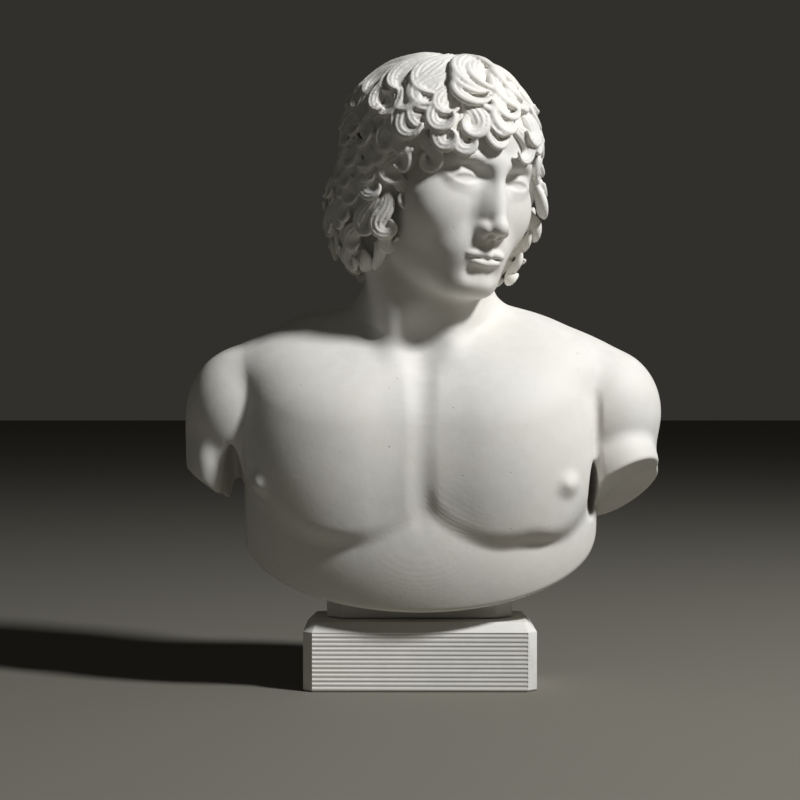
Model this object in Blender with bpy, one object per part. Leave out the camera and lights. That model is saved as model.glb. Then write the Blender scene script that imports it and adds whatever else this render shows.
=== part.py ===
"""A classical bust of a young man on a ribbed plinth, decorative cast at half life size.

The bust is one casting: head, chest cut off below in a curve, two arm stumps and the
low pillar under the chest. It is modelled as a solid field: each stroke adds or cuts a
shape with a soft edge, and the surface of the sum is meshed and then thinned out. Its
strokes are in shares of the figure's own height. The plinth is a chamfered block with
fine ribs on its front.

Metres, +Z up, the front towards -Y. The origin is the middle of the plinth's underside.
"""

import math

import bmesh
import bpy
import numpy as np
from mathutils import Matrix, Vector

# driving dimensions, in metres
FIGURE_HEIGHT = 0.2815
PLINTH_WIDTH = 0.1140
PLINTH_DEPTH = 0.058
PLINTH_HEIGHT = 0.0335
PLINTH_CHAMFER = 0.0046
PLINTH_FOOT_CHAMFER = 0.0010
RIB_PITCH = 0.00213
RIB_GROOVE = 0.0008
RIB_DEPTH = 0.0004
RIB_MARGIN = 0.0016
PILLAR_WIDTH = 0.0925
PILLAR_DEPTH = 0.031
PILLAR_SET_BACK = 0.0045
PILLAR_CHAMFER = 0.0080
GAP = 0.0003

# the strokes are in shares of the figure's height, with this many shares to the whole
SHARES = 281.5
SHARE = FIGURE_HEIGHT / SHARES
# the height in the strokes at which the pillar's foot lies
FOOT = 2.0
# the grid on which the strokes are summed, in shares, and how finely its surface is kept
GRID_STEP = 1.45
BUST_TRIANGLES = 9000
# the distance given to points far from every stroke, and to points filled in to part two corners
FAR = 9.0
FILLED = -0.05
SIDES = (-1, 1)

# where the head's middle, between the ears, stands, and how the head turns
HEAD_AT = np.array([12.0, -12.0, 220.5])
HEAD_YAW = math.radians(35)
HEAD_PITCH = math.radians(9)
HEAD_ROLL = math.radians(4)

PLASTER = (0.66, 0.65, 0.62, 1.0)


def unit(v):
    v = np.asarray(v, float)
    return v / np.linalg.norm(v)


def soft_union(a, b, blend):
    """The smaller of two distances, rounded over where they are within blend of each other."""
    if blend <= 0:
        return np.minimum(a, b)
    h = np.maximum(blend - np.abs(a - b), 0)
    return np.minimum(a, b) - h * h * np.float32(0.25 / blend)


def soft_cut(a, b, blend):
    return -soft_union(-a, b, blend)


def soft_common(a, b, blend):
    return -soft_union(-a, -b, blend)


def reach_along(x, y, z, start, axis):
    """How far the grid's points lie from start along axis."""
    return (x - start[0]) * axis[0] + (y - start[1]) * axis[1] + (z - start[2]) * axis[2]


def spread(x, y, z, start):
    """The squared distances of the grid's points from start."""
    return (x - start[0]) ** 2 + (y - start[1]) ** 2 + (z - start[2]) ** 2


class Ball:
    """An ellipsoid of half-sizes radii; turn's columns are its own axes."""

    def __init__(self, centre, radii, turn=None):
        self.centre = np.array(centre, np.float32)
        self.radii = np.array(np.broadcast_to(radii, 3), np.float32)
        self.turn = None if turn is None else np.array(turn, np.float32)
        size = self.radii if turn is None else np.sqrt(((self.turn * self.radii) ** 2).sum(axis=1))
        self.low, self.high = self.centre - size, self.centre + size

    def placed(self, turn, origin):
        own = turn if self.turn is None else turn @ self.turn
        return Ball(origin + turn @ self.centre, self.radii, own)

    def distance(self, x, y, z):
        if self.turn is None:
            q = [(v - c) / r for v, c, r in zip((x, y, z), self.centre, self.radii)]
        else:
            q = [reach_along(x, y, z, self.centre, self.turn[:, i] / self.radii[i]) for i in range(3)]
        near = np.sqrt(q[0] ** 2 + q[1] ** 2 + q[2] ** 2)
        slope = np.sqrt(sum((q[i] / self.radii[i]) ** 2 for i in range(3)))
        tiny = np.float32(1e-3)
        return (near - 1) * np.maximum(near, tiny) / np.maximum(slope, tiny / self.radii.min())


class Rod:
    """A chain of tapered round rods through points, with a radius at each."""

    def __init__(self, points, radii):
        self.points = np.array(points, np.float32)
        self.radii = np.array(np.broadcast_to(radii, len(points)), np.float32)
        self.low = (self.points - self.radii[:, None]).min(axis=0)
        self.high = (self.points + self.radii[:, None]).max(axis=0)

    def placed(self, turn, origin):
        return Rod(origin + self.points @ turn.T, self.radii)

    def distance(self, x, y, z):
        found = None
        for a, b, ra, rb in zip(self.points, self.points[1:], self.radii, self.radii[1:]):
            length = np.linalg.norm(b - a)
            run = reach_along(x, y, z, a, (b - a) / length)
            t = np.clip(run, 0, length)
            gap = np.sqrt(np.maximum(spread(x, y, z, a) - t * (2 * run - t), 0))
            d = gap - (ra + t * ((rb - ra) / length))
            found = d if found is None else np.minimum(found, d)
        return found


class Slab:
    """A box with rounded edges."""

    def __init__(self, low, high, rounding):
        self.low, self.high = np.array(low, np.float32), np.array(high, np.float32)
        self.rounding = rounding

    def distance(self, x, y, z):
        middle, half = (self.low + self.high) / 2, (self.high - self.low) / 2 - self.rounding
        q = [np.abs(v - c) - h for v, c, h in zip((x, y, z), middle, half)]
        outer = np.sqrt(np.maximum(q[0], 0) ** 2 + np.maximum(q[1], 0) ** 2 + np.maximum(q[2], 0) ** 2)
        return outer + np.minimum(np.maximum(np.maximum(q[0], q[1]), q[2]), 0) - self.rounding


class Underside:
    """All that is outside a U seen from the front: an ellipse's lower half with straight sides above it."""

    def __init__(self, middle, half, drop):
        self.middle, self.half, self.drop = middle, half, drop
        self.low = np.array([-200.0, -200, -60], np.float32)
        self.high = np.array([200.0, 200, 120], np.float32)

    def distance(self, x, y, z):
        u, v = x / self.half, np.minimum(z - self.middle, 0) / self.drop
        near = np.sqrt(u * u + v * v)
        slope = np.sqrt((u / self.half) ** 2 + (v / self.drop) ** 2)
        return (1 - near) * np.maximum(near, 1e-3) / np.maximum(slope, 1e-3 / self.drop) + 0 * y


class Trimmed:
    """Shapes joined softly and then cut off flat by planes given as (point, outward normal)."""

    def __init__(self, shapes, blend, planes, edge):
        self.shapes, self.blend, self.edge = shapes, blend, edge
        self.planes = [(np.array(a, np.float32), unit(n).astype(np.float32)) for a, n in planes]
        self.low = np.min([s.low for s in shapes], axis=0) - blend / 4
        self.high = np.max([s.high for s in shapes], axis=0) + blend / 4

    def placed(self, turn, origin):
        planes = [(origin + turn @ a, turn @ n) for a, n in self.planes]
        return Trimmed([s.placed(turn, origin) for s in self.shapes], self.blend, planes, self.edge)

    def distance(self, x, y, z):
        d = self.shapes[0].distance(x, y, z)
        for shape in self.shapes[1:]:
            d = soft_union(d, shape.distance(x, y, z), self.blend)
        for point, normal in self.planes:
            d = soft_cut(d, -reach_along(x, y, z, point, normal), self.edge)
        return d


class Common:
    """What two shapes have in common, with its edge rounded by blend."""

    def __init__(self, first, second, blend):
        self.first, self.second, self.blend = first, second, blend
        self.low = np.maximum(first.low, second.low)
        self.high = np.minimum(first.high, second.high)

    def placed(self, turn, origin):
        return Common(self.first.placed(turn, origin), self.second.placed(turn, origin), self.blend)

    def distance(self, x, y, z):
        return soft_common(self.first.distance(x, y, z), self.second.distance(x, y, z), self.blend)


class Lock:
    """A lock of hair: a flat tapered band along a path, made of strands with valleys between them."""

    def __init__(self, path, outward, widths, heights, strands, depth):
        f = np.float32
        path, outward = np.asarray(path, float), np.asarray(outward, float)
        along = np.gradient(path, axis=0)
        along /= np.linalg.norm(along, axis=1)[:, None]
        across = np.cross(along, outward)
        across /= np.linalg.norm(across, axis=1)[:, None]
        self.path, self.outward, self.across = path.astype(f), outward.astype(f), across.astype(f)
        self.rise = np.cross(across, along).astype(f)
        self.widths, self.heights = np.asarray(widths, f), np.asarray(heights, f)
        self.strands, self.depth = strands, depth
        size = np.maximum(self.widths, self.heights)[:, None]
        self.low, self.high = (self.path - size).min(axis=0), (self.path + size).max(axis=0)

    def placed(self, turn, origin):
        path, outward = origin + self.path @ turn.T, self.outward @ turn.T
        return Lock(path, outward, self.widths, self.heights, self.strands, self.depth)

    def distance(self, x, y, z):
        found = np.full((x.size, y.size, z.size), FAR, np.float32)
        for i in range(len(self.path) - 1):
            a, b = self.path[i], self.path[i + 1]
            size = max(self.widths[i], self.widths[i + 1], self.heights[i], self.heights[i + 1]) + 1.2
            part = cut_out(x, y, z, np.minimum(a, b) - size, np.maximum(a, b) + size)
            if part is None:
                continue
            xs, ys, zs = x[part[0]], y[:, part[1]], z[:, :, part[2]]
            length = np.linalg.norm(b - a)
            axis = (b - a) / length
            run = reach_along(xs, ys, zs, a, axis)
            t = np.clip(run, 0, length)
            s = run - t
            t /= length
            u, v = [], []
            for got, frame in ((u, self.across), (v, self.rise)):
                first, change = frame[i], frame[i + 1] - frame[i]
                got.append(reach_along(xs, ys, zs, a, first) - t * ((b - a) @ first))
                got.append(reach_along(xs, ys, zs, a, change) - t * ((b - a) @ change))
            w = self.widths[i] + t * (self.widths[i + 1] - self.widths[i])
            h = self.heights[i] + t * (self.heights[i + 1] - self.heights[i])
            side = (u[0] + t * u[1]) / w
            up = (v[0] + t * v[1]) / h
            near = np.sqrt(side * side + up * up + (s / w) ** 2)
            d = (near - 1) * np.minimum(w, h)
            valley = 1 - np.abs(np.sin((np.pi / 2 * self.strands) * (side + 1)))
            fade = np.clip(1.4 - np.abs(side) * 1.4, 0, 1) * np.clip(up + 0.5, 0, 1)
            d += self.depth * np.minimum(w / 3, 1) * valley * fade
            spot = found[part]
            np.minimum(spot, d, out=spot)
        return found


def cut_out(x, y, z, low, high):
    """The part of a grid between two corners, as slices; nothing when it is empty."""
    part = []
    for v, a, b in zip((x.ravel(), y.ravel(), z.ravel()), low, high):
        i, j = np.searchsorted(v, (a, b))
        if i >= j:
            return None
        part.append(slice(i, j))
    return tuple(part)


class Clay:
    """A sculpture as an ordered list of strokes, each of which adds or cuts one shape."""

    def __init__(self):
        self.strokes = []
        self.frame = None

    def put(self, shape, sign, blend):
        if self.frame:
            shape = shape.placed(*self.frame)
        self.strokes.append((shape, sign, blend))

    def add(self, shape, blend=0.0):
        self.put(shape, 1, blend)

    def cut(self, shape, blend=0.0):
        self.put(shape, -1, blend)

    def skin(self, x, z):
        """The y at which a line from the front first meets the clay."""
        y = np.arange(-75, 60, 0.25, dtype=np.float32)
        across, up = [np.full((1, 1, 1), v, np.float32) for v in (x, z)]
        inside = self.field(across, y[None, :, None], up).ravel() < 0
        return float(y[np.argmax(inside)]) if inside.any() else None

    def field(self, x, y, z, margin=1.0):
        """Signed distances on a grid, right wherever they are within margin of the surface."""
        found = np.full((x.size, y.size, z.size), FAR, np.float32)
        for shape, sign, blend in self.strokes:
            edge = blend * 1.1 + margin
            part = cut_out(x, y, z, shape.low - edge, shape.high + edge)
            if part is None:
                continue
            d = shape.distance(x[part[0]], y[:, part[1]], z[:, :, part[2]])
            join = soft_union if sign > 0 else soft_cut
            found[part] = join(found[part], d, blend)
        return found


def turn_about(axis, angle):
    c, s = math.cos(angle), math.sin(angle)
    i, j = [(1, 2), (2, 0), (0, 1)][axis]
    m = np.eye(3)
    m[i, i] = m[j, j] = c
    m[i, j], m[j, i] = -s, s
    return m


# columns are the head's own right, back and up
HEAD_TURN = turn_about(1, HEAD_ROLL) @ turn_about(2, HEAD_YAW) @ turn_about(0, HEAD_PITCH)


def head_point(p):
    return HEAD_AT + HEAD_TURN @ np.array(p, float)


def torso(clay):
    clay.add(Ball((0, 4, 86), (80, 46, 60)))
    clay.add(Ball((0, 3, 44), (86, 48, 63)), 14)
    for s in SIDES:
        clay.add(Ball((s * 56, 14, 76), (33, 38, 58)), 16)
    clay.cut(Underside(44.5, 89, 37), 2.2)
    for s in SIDES:
        clay.add(Ball((s * 42, 34, 104), (32, 18, 34)), 22)
        clay.add(Ball((s * 58, -2, 120), (36, 26, 20)), 18)
    clay.add(Ball((0, 34, 118), (34, 18, 46)), 18)
    clay.cut(Rod([(0, 64, 20), (0, 62, 120)], 9), 14)


def shoulders(clay):
    clay.add(Rod([(-14, 14, 146), (-86, 8, 119)], (17, 15)), 16)
    clay.add(Rod([(12, 14, 151), (86, 8, 122.5)], (18, 15.2)), 16)
    clay.add(Rod([(0, 12, 118), (2, 4, 150), (8, -4, 196)], (34, 31, 29)), 14)


def chest(clay):
    lobes = [Ball((s * 33, 5, 83), (64, 57, 84)) for s in SIDES]
    plate = Trimmed(lobes, 20, [((0, -41, 124), (0, -0.6, 0.8))], 16)
    outline = [Ball((-36, -20, 98), (54, 200, 57)), Ball((38, -20, 97), (48, 200, 57))]
    for s in SIDES:
        outline += [Ball((s * 50, -20, 112), (40, 200, 44)), Ball((s * 24, -20, 116), (28, 200, 40))]
    outline.append(Ball((62, -20, 78), (24, 200, 36)))
    clay.add(Common(plate, Trimmed(outline, 6, [], 1), 8), 4)


def groove(clay, x, heights, radius, depth, blend):
    """An upright groove in the front, following its skin and fading at both ends."""
    height = np.linspace(*heights, 15)
    skin = np.polyval(np.polyfit(height, [clay.skin(x, z) for z in height], 3), height)
    fade = 3 * np.linspace(-1, 1, 15) ** 4
    path = np.stack([np.full(height.shape, x), skin - radius + depth - fade, height], axis=1)
    clay.cut(Rod(path, radius), blend)


def nipples(clay):
    for x, z in ((-77, 69.5), (70, 69.5)):
        y = clay.skin(x, z)
        clay.add(Ball((x, y + 2.6, z), (3.8, 3.8, 3.5)), 6)
        clay.add(Ball((x, y - 0.2, z), (1.3, 1.3, 1.3)), 2.4)


def facing(normal):
    """A turn whose third axis points along normal."""
    third = unit(normal)
    first = unit(np.cross((0, 1, 0), third))
    return np.stack([first, np.cross(third, first), third], axis=1)


def stump(clay, shapes, blend, point, normal, hollow):
    """An arm cut short by a plane, with a shallow hollow in the cut that leaves a thin rim."""
    clay.add(Trimmed(shapes, blend, [(point, normal)], 1.2), 3)
    clay.cut(Ball(np.array(point) + unit(normal), hollow, facing(normal)), 1.0)


def arms(clay):
    left = [
        Ball((-90, 3, 102), (27, 28, 34)),
        Ball((-104, 7, 84), (13.5, 18, 32)),
        Ball((-103, -6, 78), (11, 14, 24)),
    ]
    stump(clay, left, 4, (-104, 6, 66), (-0.60, -0.05, -0.80), (9, 12, 2.6))
    right = [
        Ball((93, 3, 104), (28, 28, 32)),
        Rod([(99, 3, 96), (104.5, 6, 40)], (19, 18)),
        Ball((99.5, -9, 76), (19, 18.5, 24)),
    ]
    stump(clay, right, 3, (105, 2, 66), (0.42, -0.40, -0.81), (15.5, 13.5, 3.0))
    groove(clay, 86.5, (68, 118), 2, 0.9, 1.6)
    clay.cut(Ball((-92.5, -14, 56), (5.5, 30, 33)), 3)
    clay.cut(Ball((85, -16, 66), (2.6, 24, 14)), 2.5)


def neck_cords(clay):
    for s in SIDES:
        top = head_point((s * 31, 14, -18))
        clay.add(Rod([(s * 6, -22, 131), top], (6, 9)), 14)
    clay.cut(Ball((1, -34, 138), (8, 8, 9)), 14)


def pillar(clay):
    half, chamfer = PILLAR_WIDTH / SHARE / 2, PILLAR_CHAMFER / SHARE
    middle, deep = PILLAR_SET_BACK / SHARE, PILLAR_DEPTH / SHARE / 2
    block = Slab((-half, middle - deep, -20), (half, middle + deep, 40), 0.6)
    planes = [((0, middle, FOOT), (0, 0, -1))]
    for across in SIDES:
        for along in SIDES:
            corner = (across * (half - chamfer / 2), middle + along * (deep - chamfer / 2), 0)
            planes.append((corner, (across, along, 0)))
    clay.add(Trimmed([block], 0, planes, 0.8), 2)


def skull(clay):
    clay.add(Ball((0, 5, 15), (37, 46, 41)))
    clay.add(Ball((0, -14, 18), (32.5, 29, 30)), 10)
    clay.add(Ball((0, -14, -16), (30, 26, 36)), 10)
    clay.add(Ball((0, -13, -34), (25, 25, 20)), 10)
    clay.add(Ball((0, -35, -46.5), (10, 8.5, 8.5)), 8)
    for s in SIDES:
        clay.add(Ball((s * 18.5, -26.0, -12.5), (13.5, 11, 14)), 16)
        clay.add(Rod([(s * 9, -34, -48), (s * 24, -6, -34), (s * 30, 8, -8)], (5, 5, 5)), 8)
        clay.cut(Ball((s * 40, -24, 14), (8, 15, 15)), 10)
        brow = [(s * 3.5, -41.0, 9.2), (s * 13, -40.6, 11.2), (s * 21, -36.2, 10.8), (s * 27, -28.5, 6.5)]
        clay.add(Rod(brow, (2.9, 2.7, 2.4, 2.0)), 7)
        clay.cut(Ball((s * 15.0, -46.6, 3.2), (11.0, 8.0, 5.0)), 5)


def nose(clay):
    clay.add(Rod([(0, -41.5, 10), (0, -51.4, -18)], (2.9, 3.1)), 5)
    for s in SIDES:
        clay.add(Ball((s * 2.8, -40, -13), (5.2, 8, 12)), 6)
        clay.add(Ball((s * 5.4, -46.6, -21.2), (2.7, 4.8, 3.2)), 2.6)
    clay.add(Ball((0, -51.8, -19.8), (3.8, 3.8, 3.4)), 4)
    for s in SIDES:
        clay.cut(Ball((s * 2.9, -48.8, -24.4), (1.5, 3.0, 1.7)), 1.2)
    clay.add(Rod([(0, -50.8, -22.2), (0, -47, -24.6)], 1.4), 1.5)


def mouth(clay):
    clay.add(Ball((0, -33.2, -33.5), (16, 12, 12.5)), 10)
    clay.cut(Rod([(0, -47.2, -26.5), (0, -47.6, -30.2)], (0.9, 1.2)), 2.4)
    for s in SIDES:
        clay.add(Ball((s * 4.2, -43.6, -32.7), (7.0, 4.0, 2.5), turn_about(1, s * 0.16)), 1.4)
        clay.add(Ball((s * 2.8, -43.4, -37.7), (6.4, 4.2, 2.8), turn_about(1, -s * 0.12)), 1.4)
    clay.add(Ball((0, -45.8, -33.4), (2.2, 2.4, 2.0)), 1.5)
    line = [(-10.2, -43.0, -34.3), (-7.6, -44.9, -34.6), (-4, -46.8, -35.0)]
    line += [(-1.5, -47.5, -35.0), (0, -47.5, -35.3)]
    line += [(-x, y, z) for x, y, z in line[-2::-1]]
    clay.cut(Rod(line, (0.4, 0.5, 0.55, 0.6, 0.6, 0.6, 0.55, 0.5, 0.4)), 1.0)
    clay.cut(Rod([(-7, -46.6, -42.8), (0, -48.2, -43.2), (7, -46.6, -42.8)], 3), 5)


def eyes(clay):
    for s in SIDES:
        at = np.array([s * 15.5, -32.4, 0.4])
        hinge = at + (0, -5.0, -0.1)
        clay.add(Ball(at, (8.6, 7.4, 7.4)), 0.6)
        clay.add(Trimmed([Ball(at, (9.8, 8.7, 8.6))], 0, [(hinge, (0, -0.72, -0.694))], 0.3), 1.6)
        clay.add(Trimmed([Ball(at, (9.6, 8.3, 8.2))], 0, [(hinge, (0, -0.55, 0.835))], 0.3), 3.0)


HAIR_MASS = [
    (Ball((0, 8, 16), (43, 53, 40)), 0),
    (Ball((0, 6, 36), (29, 34, 22)), 8),
    (Ball((-35.5, 8, -16), (11, 24, 33)), 8),
    (Ball((38.5, 0, -16), (12.5, 27, 33)), 8),
    (Ball((0, 36, -22), (37, 22, 36)), 10),
]
HAIRLINE = ((0, -40, 37), (0, -0.842, -0.539))


def hair_mass(p):
    x, y, z = [np.asarray(p, np.float32)[:, i] for i in range(3)]
    d = None
    for shape, blend in HAIR_MASS:
        e = shape.distance(x, y, z)
        d = e if d is None else soft_union(d, e, blend)
    return d


def grow(roots, headings, spans, bends, curls, steps=22):
    """Lets each lock run over the hair mass from its root; gives paths and outward directions."""
    p = np.array(roots, float)
    d = np.array(headings, float)
    paths, outs = [], []
    for i in range(steps + 1):
        for _ in range(2):
            f = hair_mass(p)
            n = np.stack([hair_mass(p + e) - hair_mass(p - e) for e in np.eye(3) * 0.5], axis=1)
            n /= np.linalg.norm(n, axis=1)[:, None]
            p = p - f[:, None] * n
        d -= (d * n).sum(axis=1)[:, None] * n
        d /= np.linalg.norm(d, axis=1)[:, None]
        paths.append(p.copy())
        outs.append(n.copy())
        t = i / steps
        turn = (bends * 5 * max(0.4 - t, 0) / 0.4 + curls * min(max(t - 0.35, 0) / 0.25, 1) / 0.525) / steps
        d = d * np.cos(turn)[:, None] + np.cross(n, d) * np.sin(turn)[:, None]
        p = p + d * (spans / steps)[:, None]
    return np.stack(paths, axis=1), np.stack(outs, axis=1)


# fall from the whorl in degrees, how many, from and to which bearing, span, half width, curl
TIERS = [
    (148, 12, 70, 290, 21, 4.0, 4.2),
    (138, 17, 62, 298, 22, 4.1, 4.2),
    (127, 20, 60, 300, 24, 4.2, 4.2),
    (115, 22, 58, 302, 26, 4.3, 4.2),
    (103, 23, 56, 304, 27, 4.4, 4.2),
    (91, 25, 50, 310, 28, 4.5, 4.2),
    (79, 26, 42, 318, 29, 4.6, 4.2),
    (67, 29, 0, 360, 30, 4.7, 4.1),
    (55, 27, 0, 360, 32, 4.8, 3.9),
    (44, 25, 0, 360, 34, 4.7, 3.4),
    (33, 19, 0, 360, 38, 4.9, 2.8),
    (21, 14, 0, 360, 42, 5.2, 2.2),
    (9, 10, 0, 360, 46, 5.2, 1.8),
]
WHORL = np.array([-4, 10, 57.0])
MIDDLE = np.array([0, 8, 12.0])


def hair(clay):
    rng = np.random.default_rng(5)
    clay.add(Trimmed([s for s, b in HAIR_MASS], 8, [HAIRLINE], 3), 1.5)
    up = unit(WHORL - MIDDLE)
    side = unit(np.cross((0, -1, 0), up))
    front = np.cross(up, side)
    rows = []
    for tier, (fall_at, count, first, last, span, width, curl) in enumerate(TIERS):
        way = 1 if tier % 2 or fall_at < 40 else -1
        for i in range(count):
            bearing = math.radians(first + (last - first) * (i + 0.5 + rng.uniform(-0.2, 0.2)) / count)
            fall = math.radians(fall_at + rng.uniform(-4, 4))
            flat = front * math.cos(bearing) + side * math.sin(bearing)
            away = flat * math.sin(fall) + up * math.cos(fall)
            heading = flat * math.cos(fall) - up * math.sin(fall)
            if rng.random() < 0.3 and fall_at > 40:
                way = -way
            root = MIDDLE + away * 90
            course = heading + 0.5 * way * np.cross(away, heading)
            bend = -way * rng.uniform(0.9, 1.5)
            turn = way * curl * rng.uniform(0.8, 1.15)
            shape = (span * rng.uniform(0.85, 1.15), width * rng.uniform(0.88, 1.12), rng.uniform(0.6, 1.5))
            rows.append((root, course, bend, turn, *shape, way))
    columns = [np.array(column) for column in zip(*rows)]
    roots, headings, bends, curls, spans, widths, lifts, ways = columns
    inward = MIDDLE - roots
    inward /= np.linalg.norm(inward, axis=1)[:, None]
    for _ in range(20):
        roots += inward * hair_mass(roots)[:, None]
    paths, outs = grow(roots, headings, spans, bends, curls)
    t = np.linspace(0, 1, paths.shape[1])
    for path, out, width, lift, way in zip(paths, outs, widths, lifts, ways):
        if ((path[:, 1] < np.where(path[:, 0] > 0, -24, -19)) & (path[:, 2] < 4)).any():
            continue
        w = width * np.interp(t, (0, 0.15, 0.5, 0.8, 1), (0.5, 0.85, 1, 0.74, 0.26))
        rise = lift * np.interp(t, (0, 0.3, 0.6, 1), (-0.6, 0.5, 1.8, 3.2))
        along = np.gradient(path, axis=0)
        along /= np.linalg.norm(along, axis=1)[:, None]
        roll = -way * 0.7 * np.clip(t * 2 - 0.6, 0, 1)[:, None]
        leaned = out * np.cos(roll) + np.cross(along, out) * np.sin(roll)
        clay.add(Lock(path + out * rise[:, None], leaned, w, np.maximum(0.55 * w, 0.9), 4, 0.8), 0.3)


def figure():
    clay = Clay()
    torso(clay)
    shoulders(clay)
    chest(clay)
    neck_cords(clay)
    groove(clay, 0.5, (46, 130), 7, -0.4, 4)
    nipples(clay)
    arms(clay)
    pillar(clay)
    clay.frame = (HEAD_TURN, HEAD_AT)
    skull(clay)
    nose(clay)
    mouth(clay)
    eyes(clay)
    hair(clay)
    clay.frame = None
    return clay


def fill_squares(value):
    """Fills one corner of each grid square that is crossed like a chessboard; says how many there were."""
    filled = 0
    for axis in range(3):
        planes = np.moveaxis(value, axis, 0)
        corners = [planes[:, :-1, :-1], planes[:, 1:, :-1], planes[:, :-1, 1:], planes[:, 1:, 1:]]
        inside = [corner < 0 for corner in corners]
        crossed = (inside[0] == inside[3]) & (inside[1] == inside[2]) & (inside[0] != inside[1])
        for corner, within in zip(corners, inside):
            spots = crossed & ~within
            corner[spots] = FILLED
            filled += spots.sum()
    return filled


def fill_cubes(value):
    """The same for grid cubes in which only two opposite corners differ from the rest."""
    filled = 0
    corners = {}
    for i, j, k in np.ndindex(2, 2, 2):
        part = [slice(n, n + size - 1) for n, size in zip((i, j, k), value.shape)]
        corners[i, j, k] = value[tuple(part)]
    inside = {at: corner < 0 for at, corner in corners.items()}
    count = sum(within.astype(np.int8) for within in inside.values())
    for i, j in np.ndindex(2, 2):
        first, last = (i, j, 0), (1 - i, 1 - j, 1)
        alone = (count == 2) & inside[first] & inside[last]
        for between in ((1 - i, j, 0), (1 - i, 1 - j, 0)):
            corners[between][alone] = FILLED
        hollow = (count == 6) & ~inside[first] & ~inside[last]
        corners[first][hollow] = FILLED
        filled += alone.sum() + hollow.sum()
    return filled


def settle_corners(value):
    """Fills the grid until its surface nowhere touches itself along an edge or at a point."""
    while fill_squares(value) + fill_cubes(value):
        pass


def net(value, low, step):
    """The surface of a field on a grid, as points and four-cornered faces."""
    total = np.zeros(value.shape + (3,), np.float32)
    count = np.zeros(value.shape, np.float32)
    number = np.arange(value.size).reshape(value.shape)
    faces = []
    for axis in range(3):
        head, tail = [slice(None)] * 3, [slice(None)] * 3
        head[axis], tail[axis] = slice(0, -1), slice(1, None)
        a, b = value[tuple(head)], value[tuple(tail)]
        spots = np.argwhere((a < 0) != (b < 0))
        first, second = a[tuple(spots.T)], b[tuple(spots.T)]
        crossing = spots.astype(np.float32)
        crossing[:, axis] += first / (first - second)
        ring = []
        u, v = [np.eye(3, dtype=int)[i] for i in range(3) if i != axis]
        for shift in (0 * u, -u, -u - v, -v):
            cell = tuple((spots + shift).T)
            total[cell] += crossing
            count[cell] += 1
            ring.append(number[cell])
        ring = np.stack(ring, axis=1)
        flip = (first < 0) == (axis == 1)
        ring[flip] = ring[flip][:, ::-1]
        faces.append(ring)
    used = count > 0
    order = np.cumsum(used.ravel()) - 1
    points = np.array(low) + total[used] / count[used][:, None] * step
    return points, order[np.concatenate(faces)]


def largest_piece(points, faces):
    """Keeps the largest connected piece of a mesh."""
    label = np.arange(len(points))
    while True:
        least = label[faces].min(axis=1)
        new = label.copy()
        for corner in range(4):
            np.minimum.at(new, faces[:, corner], least)
        new = new[new]
        if (new == label).all():
            break
        label = new
    names, sizes = np.unique(label, return_counts=True)
    keep = label == names[np.argmax(sizes)]
    number = np.cumsum(keep) - 1
    return points[keep], number[faces[keep[faces[:, 0]]]]


def plaster(name):
    material = bpy.data.materials.new(name)
    material.use_nodes = True
    shader = material.node_tree.nodes["Principled BSDF"]
    shader.inputs["Base Color"].default_value = PLASTER
    shader.inputs["Roughness"].default_value = 0.7
    shader.inputs["Metallic"].default_value = 0.0
    return material


def add_object(name, mesh):
    thing = bpy.data.objects.new(name, mesh)
    bpy.context.scene.collection.objects.link(thing)
    mesh.materials.append(plaster(name + "_plaster"))
    return thing


def build_bust():
    """The figure's mesh, stood on the plinth with a gap of a hair's breadth."""
    clay = figure()
    reach = max(PILLAR_WIDTH / 2, PILLAR_DEPTH / 2 + abs(PILLAR_SET_BACK)) / SHARE + 3
    low = np.minimum((-126.0, -66.0, FOOT - 3), (-reach, -reach, FOOT - 3))
    high = np.maximum((128.0, 72.0, 290.0), (reach, reach, 290.0))
    counts = np.ceil((high - low) / GRID_STEP).astype(int)
    x, y, z = [(low[i] + np.arange(counts[i]) * GRID_STEP).astype(np.float32) for i in range(3)]
    value = clay.field(x[:, None, None], y[None, :, None], z[None, None, :])
    settle_corners(value)
    points, faces = largest_piece(*net(value, low, GRID_STEP))
    mesh = bpy.data.meshes.new("bust")
    mesh.from_pydata((points * SHARE).tolist(), [], faces.tolist())
    bust = add_object("bust", mesh)
    bust.location.z = PLINTH_HEIGHT + GAP - FOOT * SHARE
    bust.modifiers.new("triangles", "TRIANGULATE")
    thin = bust.modifiers.new("thin", "DECIMATE")
    thin.ratio = BUST_TRIANGLES / (2 * len(faces))
    return bust


def box(low, high):
    """A block between two corners, as a bmesh."""
    block = bmesh.new()
    size = Vector(high) - Vector(low)
    matrix = Matrix.Translation((Vector(high) + Vector(low)) / 2) @ Matrix.Diagonal((*size, 1.0))
    bmesh.ops.create_cube(block, size=1.0, matrix=matrix)
    return block


def chamfer(block, chosen, width):
    """Bevels the edges for which chosen(its middle, its direction) holds."""
    edges = []
    for edge in block.edges:
        a, b = (v.co for v in edge.verts)
        if chosen((a + b) / 2, (b - a).normalized()):
            edges.append(edge)
    bmesh.ops.bevel(block, geom=edges, offset=width, offset_type="OFFSET", segments=1, affect="EDGES")


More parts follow.
